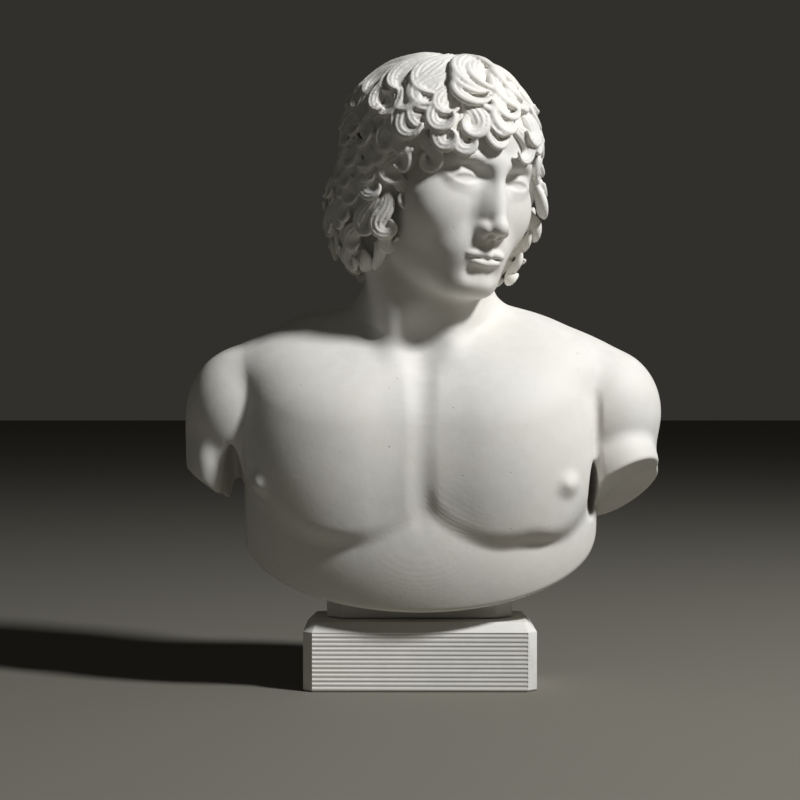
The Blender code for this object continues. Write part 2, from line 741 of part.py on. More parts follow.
def rib_grooves():
    """A comb of three-sided bars that cuts the fine grooves between the ribs of the front."""
    comb = bmesh.new()
    face = -PLINTH_DEPTH / 2
    half = PLINTH_WIDTH / 2 - PLINTH_CHAMFER
    first = PLINTH_FOOT_CHAMFER + RIB_MARGIN
    count = int((PLINTH_HEIGHT - PLINTH_CHAMFER - first) / RIB_PITCH) + 1
    for i in range(count):
        z = first + i * RIB_PITCH
        corners = [
            (face - RIB_DEPTH, z - RIB_GROOVE),
            (face + RIB_DEPTH, z),
            (face - RIB_DEPTH, z + RIB_GROOVE),
        ]
        ends = []
        for x in (-half, half):
            ends.append([comb.verts.new((x, y, height)) for y, height in corners])
        comb.faces.new(ends[0][::-1])
        comb.faces.new(ends[1])
        for j in range(3):
            k = (j + 1) % 3
            comb.faces.new((ends[0][j], ends[0][k], ends[1][k], ends[1][j]))
    bmesh.ops.recalc_face_normals(comb, faces=comb.faces)
    return comb


def as_mesh(name, made):
    mesh = bpy.data.meshes.new(name)
    made.to_mesh(mesh)
    made.free()
    return mesh


def build_plinth():
    half = Vector((PLINTH_WIDTH / 2, PLINTH_DEPTH / 2, 0))
    block = box(-half, half + Vector((0, 0, PLINTH_HEIGHT)))
    chamfer(block, lambda middle, way: abs(way.z) > 0.9, PLINTH_CHAMFER)
    chamfer(block, lambda middle, way: middle.z > 0.99 * PLINTH_HEIGHT, PLINTH_CHAMFER)
    chamfer(block, lambda middle, way: middle.z < 0.01 * PLINTH_HEIGHT, PLINTH_FOOT_CHAMFER)
    plinth = add_object("plinth", as_mesh("plinth", block))
    comb = add_object("rib_grooves", as_mesh("rib_grooves", rib_grooves()))
    comb.hide_render = True
    comb.display_type = "WIRE"
    cut = plinth.modifiers.new("ribs", "BOOLEAN")
    cut.operation = "DIFFERENCE"
    cut.object = comb
    return plinth


def main():
    for thing in list(bpy.data.objects):
        bpy.data.objects.remove(thing)
    build_bust()
    build_plinth()


main()
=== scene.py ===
"""Looks of a classical bust on a ribbed plinth, laid out as a Blender add-on.

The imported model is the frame. The figure and its hair are sculpted as solid fields, from
the same strokes as the model's own bust but on a finer grid, and stand for it. The plinth
is rebuilt with rounded ribs and softened edges. Metres, +Z up, the front towards -Y.
"""

import math

import bmesh
import bpy
import numpy as np
from bpy.props import FloatProperty, FloatVectorProperty, IntProperty, PointerProperty
from mathutils import Matrix, Vector


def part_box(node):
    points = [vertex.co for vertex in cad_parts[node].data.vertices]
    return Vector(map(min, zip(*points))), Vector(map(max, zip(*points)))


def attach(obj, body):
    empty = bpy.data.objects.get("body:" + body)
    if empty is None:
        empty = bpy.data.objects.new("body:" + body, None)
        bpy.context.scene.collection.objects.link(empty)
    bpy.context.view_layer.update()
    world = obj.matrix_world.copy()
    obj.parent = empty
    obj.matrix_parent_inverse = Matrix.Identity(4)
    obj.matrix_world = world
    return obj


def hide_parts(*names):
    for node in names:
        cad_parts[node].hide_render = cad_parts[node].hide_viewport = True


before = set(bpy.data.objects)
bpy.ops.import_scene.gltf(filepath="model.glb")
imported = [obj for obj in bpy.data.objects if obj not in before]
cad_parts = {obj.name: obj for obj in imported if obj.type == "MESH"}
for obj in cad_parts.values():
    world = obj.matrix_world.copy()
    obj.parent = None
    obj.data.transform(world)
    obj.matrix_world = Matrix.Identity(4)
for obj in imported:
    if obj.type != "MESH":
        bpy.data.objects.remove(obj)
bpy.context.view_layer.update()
BUST_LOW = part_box("bust")[0]
PLINTH_LOW, PLINTH_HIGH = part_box("plinth")

bl_info = {
    "name": "Classical Bust Looks",
    "version": (1, 0, 0),
    "blender": (4, 5, 0),
    "location": "3D View > Sidebar > Bust",
    "description": "Sculpts the plaster figure, its hair and its ribbed plinth around the packed model",
    "category": "Object",
}

# lengths in the strokes are shares of the figure's height, this many to the whole, with the
# front towards -y, and the pillar's measures are in metres
SHARES = 281.5
PILLAR_WIDTH = 0.0925
PILLAR_DEPTH = 0.031
PILLAR_SET_BACK = 0.0045
PILLAR_CHAMFER = 0.0080
FIGURE_HEIGHT = 0.2815
SHARE = FIGURE_HEIGHT / SHARES
# the height in the strokes at which the pillar's foot lies
FOOT = 2.0
SIDES = (-1, 1)
# the distance that stands for anywhere away from the clay
FAR = 9.0
BLOCK = 24
# the corners between which the figure and the hair are looked for
FIGURE_SPAN = ((-126, -66, -4), (128, 72, 290))
HAIR_SPAN = ((-60, -76, 150), (84, 76, 290))

# where the head's middle, between the ears, stands, and how the head turns
HEAD_AT = np.array([12.0, -12.0, 220.5])
HEAD_YAW = math.radians(35)
HEAD_PITCH = math.radians(9)
HEAD_ROLL = math.radians(4)


def unit(v):
    v = np.asarray(v, float)
    return v / np.linalg.norm(v)


def soft_union(a, b, blend):
    """The smaller of two distances, rounded over where they are within blend of each other."""
    if blend <= 0:
        return np.minimum(a, b)
    h = np.maximum(blend - np.abs(a - b), 0)
    return np.minimum(a, b) - h * h * np.float32(0.25 / blend)


def soft_cut(a, b, blend):
    return -soft_union(-a, b, blend)


def soft_common(a, b, blend):
    return -soft_union(-a, -b, blend)


def reach_along(x, y, z, start, axis):
    """How far the grid's points lie from start along axis."""
    return (x - start[0]) * axis[0] + (y - start[1]) * axis[1] + (z - start[2]) * axis[2]


def spread(x, y, z, start):
    """The squared distances of the grid's points from start."""
    return (x - start[0]) ** 2 + (y - start[1]) ** 2 + (z - start[2]) ** 2


class Ball:
    """An ellipsoid of half-sizes radii; turn's columns are its own axes."""

    def __init__(self, centre, radii, turn=None):
        self.centre = np.array(centre, np.float32)
        self.radii = np.array(np.broadcast_to(radii, 3), np.float32)
        self.turn = None if turn is None else np.array(turn, np.float32)
        size = self.radii if turn is None else np.sqrt(((self.turn * self.radii) ** 2).sum(axis=1))
        self.low, self.high = self.centre - size, self.centre + size

    def placed(self, turn, origin):
        own = turn if self.turn is None else turn @ self.turn
        return Ball(origin + turn @ self.centre, self.radii, own)

    def distance(self, x, y, z):
        if self.turn is None:
            q = [(v - c) / r for v, c, r in zip((x, y, z), self.centre, self.radii)]
        else:
            q = [reach_along(x, y, z, self.centre, self.turn[:, i] / self.radii[i]) for i in range(3)]
        near = np.sqrt(q[0] ** 2 + q[1] ** 2 + q[2] ** 2)
        slope = np.sqrt(sum((q[i] / self.radii[i]) ** 2 for i in range(3)))
        tiny = np.float32(1e-3)
        return (near - 1) * np.maximum(near, tiny) / np.maximum(slope, tiny / self.radii.min())


class Rod:
    """A chain of tapered round rods through points, with a radius at each."""

    def __init__(self, points, radii):
        self.points = np.array(points, np.float32)
        self.radii = np.array(np.broadcast_to(radii, len(points)), np.float32)
        self.low = (self.points - self.radii[:, None]).min(axis=0)
        self.high = (self.points + self.radii[:, None]).max(axis=0)

    def placed(self, turn, origin):
        return Rod(origin + self.points @ turn.T, self.radii)

    def distance(self, x, y, z):
        found = None
        for a, b, ra, rb in zip(self.points, self.points[1:], self.radii, self.radii[1:]):
            length = np.linalg.norm(b - a)
            run = reach_along(x, y, z, a, (b - a) / length)
            t = np.clip(run, 0, length)
            gap = np.sqrt(np.maximum(spread(x, y, z, a) - t * (2 * run - t), 0))
            d = gap - (ra + t * ((rb - ra) / length))
            found = d if found is None else np.minimum(found, d)
        return found


class Slab:
    """A box with rounded edges."""

    def __init__(self, low, high, rounding):
        self.low, self.high = np.array(low, np.float32), np.array(high, np.float32)
        self.rounding = rounding

    def distance(self, x, y, z):
        middle, half = (self.low + self.high) / 2, (self.high - self.low) / 2 - self.rounding
        q = [np.abs(v - c) - h for v, c, h in zip((x, y, z), middle, half)]
        outer = np.sqrt(np.maximum(q[0], 0) ** 2 + np.maximum(q[1], 0) ** 2 + np.maximum(q[2], 0) ** 2)
        return outer + np.minimum(np.maximum(np.maximum(q[0], q[1]), q[2]), 0) - self.rounding


class Underside:
    """All that is outside a U seen from the front: an ellipse's lower half with straight sides above it."""

    def __init__(self, middle, half, drop):
        self.middle, self.half, self.drop = middle, half, drop
        self.low = np.array([-200.0, -200, -60], np.float32)
        self.high = np.array([200.0, 200, 120], np.float32)

    def distance(self, x, y, z):
        u, v = x / self.half, np.minimum(z - self.middle, 0) / self.drop
        near = np.sqrt(u * u + v * v)
        slope = np.sqrt((u / self.half) ** 2 + (v / self.drop) ** 2)
        return (1 - near) * np.maximum(near, 1e-3) / np.maximum(slope, 1e-3 / self.drop) + 0 * y


class Trimmed:
    """Shapes joined softly and then cut off flat by planes given as (point, outward normal)."""

    def __init__(self, shapes, blend, planes, edge):
        self.shapes, self.blend, self.edge = shapes, blend, edge
        self.planes = [(np.array(a, np.float32), unit(n).astype(np.float32)) for a, n in planes]
        self.low = np.min([s.low for s in shapes], axis=0) - blend / 4
        self.high = np.max([s.high for s in shapes], axis=0) + blend / 4

    def placed(self, turn, origin):
        planes = [(origin + turn @ a, turn @ n) for a, n in self.planes]
        return Trimmed([s.placed(turn, origin) for s in self.shapes], self.blend, planes, self.edge)

    def distance(self, x, y, z):
        d = self.shapes[0].distance(x, y, z)
        for shape in self.shapes[1:]:
            d = soft_union(d, shape.distance(x, y, z), self.blend)
        for point, normal in self.planes:
            d = soft_cut(d, -reach_along(x, y, z, point, normal), self.edge)
        return d


class Common:
    """What two shapes have in common, with its edge rounded by blend."""

    def __init__(self, first, second, blend):
        self.first, self.second, self.blend = first, second, blend
        self.low = np.maximum(first.low, second.low)
        self.high = np.minimum(first.high, second.high)

    def distance(self, x, y, z):
        return soft_common(self.first.distance(x, y, z), self.second.distance(x, y, z), self.blend)


class Lock:
    """A lock of hair: a flat tapered band along a path, made of strands with valleys between them.

    The valleys fade towards the band's sides and its inner half.
    """

    # how far around the band its field is worked out, and how steeply the valleys fade to its sides
    MARGIN = 1.2
    FADE = 1.4

    def __init__(self, path, outward, widths, heights, strands, depth):
        f = np.float32
        path, outward = np.asarray(path, float), np.asarray(outward, float)
        along = np.gradient(path, axis=0)
        along /= np.linalg.norm(along, axis=1)[:, None]
        across = np.cross(along, outward)
        across /= np.linalg.norm(across, axis=1)[:, None]
        self.path, self.outward, self.across = path.astype(f), outward.astype(f), across.astype(f)
        self.rise = np.cross(across, along).astype(f)
        self.widths, self.heights = np.asarray(widths, f), np.asarray(heights, f)
        self.strands, self.depth = strands, depth
        size = np.maximum(self.widths, self.heights)[:, None]
        self.low, self.high = (self.path - size).min(axis=0), (self.path + size).max(axis=0)

    def placed(self, turn, origin):
        path, outward = origin + self.path @ turn.T, self.outward @ turn.T
        return Lock(path, outward, self.widths, self.heights, self.strands, self.depth)

    def distance(self, x, y, z):
        found = np.full((x.size, y.size, z.size), FAR, np.float32)
        for i in range(len(self.path) - 1):
            a, b = self.path[i], self.path[i + 1]
            size = max(*self.widths[i : i + 2], *self.heights[i : i + 2]) + self.MARGIN
            part = cut_out(x, y, z, np.minimum(a, b) - size, np.maximum(a, b) + size)
            if part is None:
                continue
            xs, ys, zs = x[part[0]], y[:, part[1]], z[:, :, part[2]]
            length = np.linalg.norm(b - a)
            axis = (b - a) / length
            run = reach_along(xs, ys, zs, a, axis)
            t = np.clip(run, 0, length)
            s = run - t
            t /= length
            u, v = [], []
            for got, ways in ((u, self.across), (v, self.rise)):
                first, change = ways[i], ways[i + 1] - ways[i]
                got.append(reach_along(xs, ys, zs, a, first) - t * ((b - a) @ first))
                got.append(reach_along(xs, ys, zs, a, change) - t * ((b - a) @ change))
            w = self.widths[i] + t * (self.widths[i + 1] - self.widths[i])
            h = self.heights[i] + t * (self.heights[i + 1] - self.heights[i])
            side = (u[0] + t * u[1]) / w
            up = (v[0] + t * v[1]) / h
            near = np.sqrt(side * side + up * up + (s / w) ** 2)
            d = (near - 1) * np.minimum(w, h)
            valley = 1 - np.abs(np.sin((np.pi / 2 * self.strands) * (side + 1)))
            fade = np.clip(self.FADE - np.abs(side) * self.FADE, 0, 1) * np.clip(up + 0.5, 0, 1)
            d += self.depth * np.minimum(w / 3, 1) * valley * fade
            spot = found[part]
            np.minimum(spot, d, out=spot)
        return found


def cut_out(x, y, z, low, high):
    """The part of a grid between two corners, as slices; nothing when it is empty."""
    part = []
    for v, a, b in zip((x.ravel(), y.ravel(), z.ravel()), low, high):
        i, j = np.searchsorted(v, (a, b))
        if i >= j:
            return None
        part.append(slice(i, j))
    return tuple(part)


# from where to where, and in what steps, a line from the front looks for the skin
SKIN_SEARCH = (-75, 60, 0.25)


class Clay:
    """A sculpture as an ordered list of strokes, each of which adds or cuts one shape."""

    def __init__(self):
        self.strokes = []
        self.frame = None

    def put(self, shape, sign, blend):
        if self.frame:
            shape = shape.placed(*self.frame)
        self.strokes.append((shape, sign, blend))

    def add(self, shape, blend=0.0):
        self.put(shape, 1, blend)

    def cut(self, shape, blend=0.0):
        self.put(shape, -1, blend)

    def skin(self, x, z):
        """The y at which a line from the front first meets the clay."""
        y = np.arange(*SKIN_SEARCH, dtype=np.float32)
        across, up = [np.full((1, 1, 1), v, np.float32) for v in (x, z)]
        inside = self.field(across, y[None, :, None], up).ravel() < 0
        return float(y[np.argmax(inside)]) if inside.any() else None

    def field(self, x, y, z, margin=1.0):
        """Signed distances on a grid, right wherever they are within margin of the surface."""
        found = np.full((x.size, y.size, z.size), FAR, np.float32)
        for shape, sign, blend in self.strokes:
            edge = blend * 1.1 + margin
            part = cut_out(x, y, z, shape.low - edge, shape.high + edge)
            if part is None:
                continue
            d = shape.distance(x[part[0]], y[:, part[1]], z[:, :, part[2]])
            join = soft_union if sign > 0 else soft_cut
            found[part] = join(found[part], d, blend)
        return found


def turn_about(axis, angle):
    """The matrix of a turn about one of the three axes."""
    c, s = math.cos(angle), math.sin(angle)
    i, j = [(1, 2), (2, 0), (0, 1)][axis]
    m = np.eye(3)
    m[i, i] = m[j, j] = c
    m[i, j], m[j, i] = -s, s
    return m


# columns are the head's own left, back and up
HEAD_TURN = turn_about(1, HEAD_ROLL) @ turn_about(2, HEAD_YAW) @ turn_about(0, HEAD_PITCH)


def head_point(p):
    return HEAD_AT + HEAD_TURN @ np.array(p, float)


def torso(clay):
    clay.add(Ball((0, 4, 86), (80, 46, 60)))
    clay.add(Ball((0, 3, 44), (86, 48, 63)), 14)
    for s in SIDES:
        clay.add(Ball((s * 56, 14, 76), (33, 38, 58)), 16)
    clay.cut(Underside(44.5, 89, 37), 2.2)
    for s in SIDES:
        clay.add(Ball((s * 42, 34, 104), (32, 18, 34)), 22)
        clay.add(Ball((s * 58, -2, 120), (36, 26, 20)), 18)
    clay.add(Ball((0, 34, 118), (34, 18, 46)), 18)
    clay.cut(Rod([(0, 64, 20), (0, 62, 120)], 9), 14)


def shoulders(clay):
    clay.add(Rod([(-14, 14, 146), (-86, 8, 119)], (17, 15)), 16)
    clay.add(Rod([(12, 14, 151), (86, 8, 122.5)], (18, 15.2)), 16)
    clay.add(Rod([(0, 12, 118), (2, 4, 150), (8, -4, 196)], (34, 31, 29)), 14)


def chest(clay):
    lobes = [Ball((s * 33, 5, 83), (64, 57, 84)) for s in SIDES]
    plate = Trimmed(lobes, 20, [((0, -41, 124), (0, -0.6, 0.8))], 16)
    outline = [Ball((-36, -20, 98), (54, 200, 57)), Ball((38, -20, 97), (48, 200, 57))]
    for s in SIDES:
        outline += [Ball((s * 50, -20, 112), (40, 200, 44)), Ball((s * 24, -20, 116), (28, 200, 40))]
    outline.append(Ball((62, -20, 78), (24, 200, 36)))
    clay.add(Common(plate, Trimmed(outline, 6, [], 1), 8), 4)


# the points along a groove, and how far it has risen out of the skin at its ends
GROOVE_POINTS = 15
GROOVE_FADE = 3


def groove(clay, x, heights, radius, depth, blend):
    """An upright groove in the front, following its skin and fading at both ends."""
    height = np.linspace(*heights, GROOVE_POINTS)
    skin = np.polyval(np.polyfit(height, [clay.skin(x, z) for z in height], 3), height)
    fade = GROOVE_FADE * np.linspace(-1, 1, GROOVE_POINTS) ** 4
    path = np.stack([np.full(height.shape, x), skin - radius + depth - fade, height], axis=1)
    clay.cut(Rod(path, radius), blend)


def nipples(clay):
    for x, z in ((-77, 69.5), (70, 69.5)):
        y = clay.skin(x, z)
        clay.add(Ball((x, y + 2.6, z), (3.8, 3.8, 3.5)), 6)
        clay.add(Ball((x, y - 0.2, z), (1.3, 1.3, 1.3)), 2.4)


def facing(normal):
    """A turn whose third axis points along normal."""
    third = unit(normal)
    first = unit(np.cross((0, 1, 0), third))
    return np.stack([first, np.cross(third, first), third], axis=1)


def stump(clay, shapes, blend, point, normal, hollow):
    """An arm cut short by a plane, with a shallow hollow in the cut that leaves a thin rim."""
    clay.add(Trimmed(shapes, blend, [(point, normal)], 1.2), 3)
    clay.cut(Ball(np.array(point) + unit(normal), hollow, facing(normal)), 1.0)


def arms(clay):
    left = [
        Ball((-90, 3, 102), (27, 28, 34)),
        Ball((-104, 7, 84), (13.5, 18, 32)),
        Ball((-103, -6, 78), (11, 14, 24)),
    ]
    stump(clay, left, 4, (-104, 6, 66), (-0.60, -0.05, -0.80), (9, 12, 2.6))
    right = [
        Ball((93, 3, 104), (28, 28, 32)),
        Rod([(99, 3, 96), (104.5, 6, 40)], (19, 18)),
        Ball((99.5, -9, 76), (19, 18.5, 24)),
    ]
    stump(clay, right, 3, (105, 2, 66), (0.42, -0.40, -0.81), (15.5, 13.5, 3.0))
    groove(clay, 86.5, (68, 118), 2, 0.9, 1.6)
    clay.cut(Ball((-92.5, -14, 56), (5.5, 30, 33)), 3)
    clay.cut(Ball((85, -16, 66), (2.6, 24, 14)), 2.5)


def neck_cords(clay):
    for s in SIDES:
        top = head_point((s * 31, 14, -18))
        clay.add(Rod([(s * 6, -22, 131), top], (6, 9)), 14)
    clay.cut(Ball((1, -34, 138), (8, 8, 9)), 14)


def pillar(clay):
    half, chamfer = PILLAR_WIDTH / SHARE / 2, PILLAR_CHAMFER / SHARE
    middle, deep = PILLAR_SET_BACK / SHARE, PILLAR_DEPTH / SHARE / 2
    block = Slab((-half, middle - deep, -20), (half, middle + deep, 40), 0.6)
    planes = [((0, middle, FOOT), (0, 0, -1))]
    for across in SIDES:
        for along in SIDES:
            corner = (across * (half - chamfer / 2), middle + along * (deep - chamfer / 2), 0)
            planes.append((corner, (across, along, 0)))
    clay.add(Trimmed([block], 0, planes, 0.8), 2)


def skull(clay):
    clay.add(Ball((0, 5, 15), (37, 46, 41)))
    clay.add(Ball((0, -14, 18), (32.5, 29, 30)), 10)
    clay.add(Ball((0, -14, -16), (30, 26, 36)), 10)
    clay.add(Ball((0, -13, -34), (25, 25, 20)), 10)
    clay.add(Ball((0, -35, -46.5), (10, 8.5, 8.5)), 8)
    for s in SIDES:
        clay.add(Ball((s * 18.5, -26.0, -12.5), (13.5, 11, 14)), 16)
        clay.add(Rod([(s * 9, -34, -48), (s * 24, -6, -34), (s * 30, 8, -8)], (5, 5, 5)), 8)
        clay.cut(Ball((s * 40, -24, 14), (8, 15, 15)), 10)
        brow = [(s * 3.5, -41.0, 9.2), (s * 13, -40.6, 11.2), (s * 21, -36.2, 10.8), (s * 27, -28.5, 6.5)]
        clay.add(Rod(brow, (2.9, 2.7, 2.4, 2.0)), 7)
        clay.cut(Ball((s * 15.0, -46.6, 3.2), (11.0, 8.0, 5.0)), 5)


def nose(clay):
    clay.add(Rod([(0, -41.5, 10), (0, -51.4, -18)], (2.9, 3.1)), 5)
    for s in SIDES:
        clay.add(Ball((s * 2.8, -40, -13), (5.2, 8, 12)), 6)
        clay.add(Ball((s * 5.4, -46.6, -21.2), (2.7, 4.8, 3.2)), 2.6)
    clay.add(Ball((0, -51.8, -19.8), (3.8, 3.8, 3.4)), 4)
    for s in SIDES:
        clay.cut(Ball((s * 2.9, -48.8, -24.4), (1.5, 3.0, 1.7)), 1.2)
    clay.add(Rod([(0, -50.8, -22.2), (0, -47, -24.6)], 1.4), 1.5)


def mouth(clay):
    clay.add(Ball((0, -33.2, -33.5), (16, 12, 12.5)), 10)
    clay.cut(Rod([(0, -47.2, -26.5), (0, -47.6, -30.2)], (0.9, 1.2)), 2.4)
    for s in SIDES:
        clay.add(Ball((s * 4.2, -43.6, -32.7), (7.0, 4.0, 2.5), turn_about(1, s * 0.16)), 1.4)
        clay.add(Ball((s * 2.8, -43.4, -37.7), (6.4, 4.2, 2.8), turn_about(1, -s * 0.12)), 1.4)
    clay.add(Ball((0, -45.8, -33.4), (2.2, 2.4, 2.0)), 1.5)
    line = [(-10.2, -43.0, -34.3), (-7.6, -44.9, -34.6), (-4, -46.8, -35.0)]
    line += [(-1.5, -47.5, -35.0), (0, -47.5, -35.3)]
    line += [(-x, y, z) for x, y, z in line[-2::-1]]
    clay.cut(Rod(line, (0.4, 0.5, 0.55, 0.6, 0.6, 0.6, 0.55, 0.5, 0.4)), 1.0)
    clay.cut(Rod([(-7, -46.6, -42.8), (0, -48.2, -43.2), (7, -46.6, -42.8)], 3), 5)


def eyes(clay):
    for s in SIDES:
        at = np.array([s * 15.5, -32.4, 0.4])
        hinge = at + (0, -5.0, -0.1)
        clay.add(Ball(at, (8.6, 7.4, 7.4)), 0.6)
        clay.add(Trimmed([Ball(at, (9.8, 8.7, 8.6))], 0, [(hinge, (0, -0.72, -0.694))], 0.3), 1.6)
        clay.add(Trimmed([Ball(at, (9.6, 8.3, 8.2))], 0, [(hinge, (0, -0.55, 0.835))], 0.3), 3.0)


# the rounded mass under the locks, as shapes with their blends, and the plane that trims it in front
HAIR_MASS = [
    (Ball((0, 8, 16), (43, 53, 40)), 0),
    (Ball((0, 6, 36), (29, 34, 22)), 8),
    (Ball((-35.5, 8, -16), (11, 24, 33)), 8),
    (Ball((38.5, 0, -16), (12.5, 27, 33)), 8),
    (Ball((0, 36, -22), (37, 22, 36)), 10),
]
HAIRLINE = ((0, -40, 37), (0, -0.842, -0.539))


def hair_mass(p):
    """Distances of points from the mass under the locks."""
    x, y, z = [np.asarray(p, np.float32)[:, i] for i in range(3)]
    d = None
    for shape, blend in HAIR_MASS:
        e = shape.distance(x, y, z)
        d = e if d is None else soft_union(d, e, blend)
    return d


# shares of a lock's length: its bend ends at the first, its curl starts at the second and takes
# the third to reach its full rate
BEND_END = 0.4
CURL_START = 0.35
CURL_RISE = 0.25
# what makes bend and curl add up to their whole angles: the bend's highest rate, and the share
# of the length for which the curl would last at its full rate
BEND_RATE = 5
CURL_LASTS = 0.525


def grow(roots, headings, spans, bends, curls, steps=22):
    """Lets each lock run over the hair mass from its root; gives paths and outward directions."""
    p = np.array(roots, float)
    d = np.array(headings, float)
    paths, outs = [], []
    for i in range(steps + 1):
        for _ in range(2):
            f = hair_mass(p)
            n = np.stack([hair_mass(p + e) - hair_mass(p - e) for e in np.eye(3) * 0.5], axis=1)
            n /= np.linalg.norm(n, axis=1)[:, None]
            p = p - f[:, None] * n
        d -= (d * n).sum(axis=1)[:, None] * n
        d /= np.linalg.norm(d, axis=1)[:, None]
        paths.append(p.copy())
        outs.append(n.copy())
        t = i / steps
        bend = bends * BEND_RATE * max(BEND_END - t, 0) / BEND_END
        curl = curls * min(max(t - CURL_START, 0) / CURL_RISE, 1) / CURL_LASTS
        turn = (bend + curl) / steps
        d = d * np.cos(turn)[:, None] + np.cross(n, d) * np.sin(turn)[:, None]
        p = p + d * (spans / steps)[:, None]
    return np.stack(paths, axis=1), np.stack(outs, axis=1)


# fall from the whorl in degrees, how many, from and to which bearing, span, half width, curl
TIERS = [
    (148, 12, 70, 290, 21, 4.0, 4.2),
    (138, 17, 62, 298, 22, 4.1, 4.2),
    (127, 20, 60, 300, 24, 4.2, 4.2),
    (115, 22, 58, 302, 26, 4.3, 4.2),
    (103, 23, 56, 304, 27, 4.4, 4.2),
    (91, 25, 50, 310, 28, 4.5, 4.2),
    (79, 26, 42, 318, 29, 4.6, 4.2),
    (67, 29, 0, 360, 30, 4.7, 4.1),
    (55, 27, 0, 360, 32, 4.8, 3.9),
    (44, 25, 0, 360, 34, 4.7, 3.4),
    (33, 19, 0, 360, 38, 4.9, 2.8),
    (21, 14, 0, 360, 42, 5.2, 2.2),
    (9, 10, 0, 360, 46, 5.2, 1.8),
]
# the whorl, and the point inside the skull that the roots are measured from
WHORL = np.array([-4, 10, 57.0])
MIDDLE = np.array([0, 8, 12.0])
# how far from there the roots start, well outside the mass
OUTSIDE = 90
# tiers whose fall is less than this all curl one way
CROWN = 40
# no lock may hang below this height in front of these places, on the head's left and right
FACE_TOP = 4
FACE_SIDES = (-24, -19)
# along a lock, from root to tip: its width and how far it has risen off the mass
WIDTH_STOPS = ((0, 0.15, 0.5, 0.8, 1), (0.5, 0.85, 1, 0.74, 0.26))
RISE_STOPS = ((0, 0.3, 0.6, 1), (-0.6, 0.5, 1.8, 3.2))
STRANDS = 4
STRAND_DEPTH = 0.8


def hair(clay):
    """The mass of the hair and its locks, tier by tier from the nape up to the whorl."""
    rng = np.random.default_rng(5)
    clay.add(Trimmed([s for s, b in HAIR_MASS], 8, [HAIRLINE], 3), 1.5)
    up = unit(WHORL - MIDDLE)
    side = unit(np.cross((0, -1, 0), up))
    front = np.cross(up, side)
    rows = []
    for tier, (fall_at, count, first, last, span, width, curl) in enumerate(TIERS):
        way = 1 if tier % 2 or fall_at < CROWN else -1
        for i in range(count):
            bearing = math.radians(first + (last - first) * (i + 0.5 + rng.uniform(-0.2, 0.2)) / count)
            fall = math.radians(fall_at + rng.uniform(-4, 4))
            flat = front * math.cos(bearing) + side * math.sin(bearing)
            away = flat * math.sin(fall) + up * math.cos(fall)
            heading = flat * math.cos(fall) - up * math.sin(fall)
            if rng.random() < 0.3 and fall_at > CROWN:
                way = -way
            root = MIDDLE + away * OUTSIDE
            course = heading + 0.5 * way * np.cross(away, heading)
            bend = -way * rng.uniform(0.9, 1.5)
            turn = way * curl * rng.uniform(0.8, 1.15)
            shape = (span * rng.uniform(0.85, 1.15), width * rng.uniform(0.88, 1.12), rng.uniform(0.6, 1.5))
            rows.append((root, course, bend, turn, *shape, way))
    columns = [np.array(column) for column in zip(*rows)]
    roots, headings, bends, curls, spans, widths, lifts, ways = columns
    inward = MIDDLE - roots
    inward /= np.linalg.norm(inward, axis=1)[:, None]
    for _ in range(20):
        roots += inward * hair_mass(roots)[:, None]
    paths, outs = grow(roots, headings, spans, bends, curls)
    t = np.linspace(0, 1, paths.shape[1])
    for path, out, width, lift, way in zip(paths, outs, widths, lifts, ways):
        forward = path[:, 1] < np.where(path[:, 0] > 0, *FACE_SIDES)
        if (forward & (path[:, 2] < FACE_TOP)).any():
            continue
        w = width * np.interp(t, *WIDTH_STOPS)
        rise = lift * np.interp(t, *RISE_STOPS)
        along = np.gradient(path, axis=0)
        along /= np.linalg.norm(along, axis=1)[:, None]
        roll = -way * 0.7 * np.clip(t * 2 - 0.6, 0, 1)[:, None]
        leaned = out * np.cos(roll) + np.cross(along, out) * np.sin(roll)
        thick = np.maximum(0.55 * w, 0.9)
        clay.add(Lock(path + out * rise[:, None], leaned, w, thick, STRANDS, STRAND_DEPTH), 0.3)


def figure():
    """Chest, arm stumps, pillar, neck and head, as one clay."""
    clay = Clay()
    torso(clay)
    shoulders(clay)
    chest(clay)
    neck_cords(clay)
    groove(clay, 0.5, (46, 130), 7, -0.4, 4)
    nipples(clay)
    arms(clay)
    pillar(clay)
    clay.frame = (HEAD_TURN, HEAD_AT)
    skull(clay)
    nose(clay)
    mouth(clay)
    eyes(clay)
    clay.frame = None
    return clay


def block_net(value, start, low, step, strides):
    """The surface in one block: the ids and points of its cells, and its faces as cell ids."""
    n = value.shape[0] - 1
    total = np.zeros((n, n, n, 3), np.float32)
    count = np.zeros((n, n, n), np.float32)
    faces = []
    for axis in range(3):
        head, tail = [slice(None)] * 3, [slice(None)] * 3
        head[axis], tail[axis] = slice(0, n), slice(1, n + 1)
        a, b = value[tuple(head)], value[tuple(tail)]
        spots = np.argwhere((a < 0) != (b < 0))
        if not len(spots):
            continue
        first, second = a[tuple(spots.T)], b[tuple(spots.T)]
        crossing = spots.astype(np.float32)
        crossing[:, axis] += first / (first - second)
        others = [i for i in range(3) if i != axis]
        for shift in np.ndindex(2, 2):
            cell = spots.copy()
            cell[:, others] -= shift
            kept = ((cell[:, others] >= 0) & (cell[:, others] < n)).all(axis=1)
            spot = tuple(cell[kept].T)
            total[spot] += crossing[kept]
            count[spot] += 1
        own = (spots[:, others] < n).all(axis=1)
        base = (spots[own] + start) @ strides
        u, v = strides[others]
        ring = np.stack([base, base - u, base - u - v, base - v], axis=1)
        flip = (first[own] < 0) == (axis == 1)
        ring[flip] = ring[flip][:, ::-1]
        faces.append(ring)
    cells = np.argwhere(count > 0)
    points = total[tuple(cells.T)] / count[tuple(cells.T)][:, None]
    return (cells + start) @ strides, low + (points + start) * step, np.concatenate(faces)


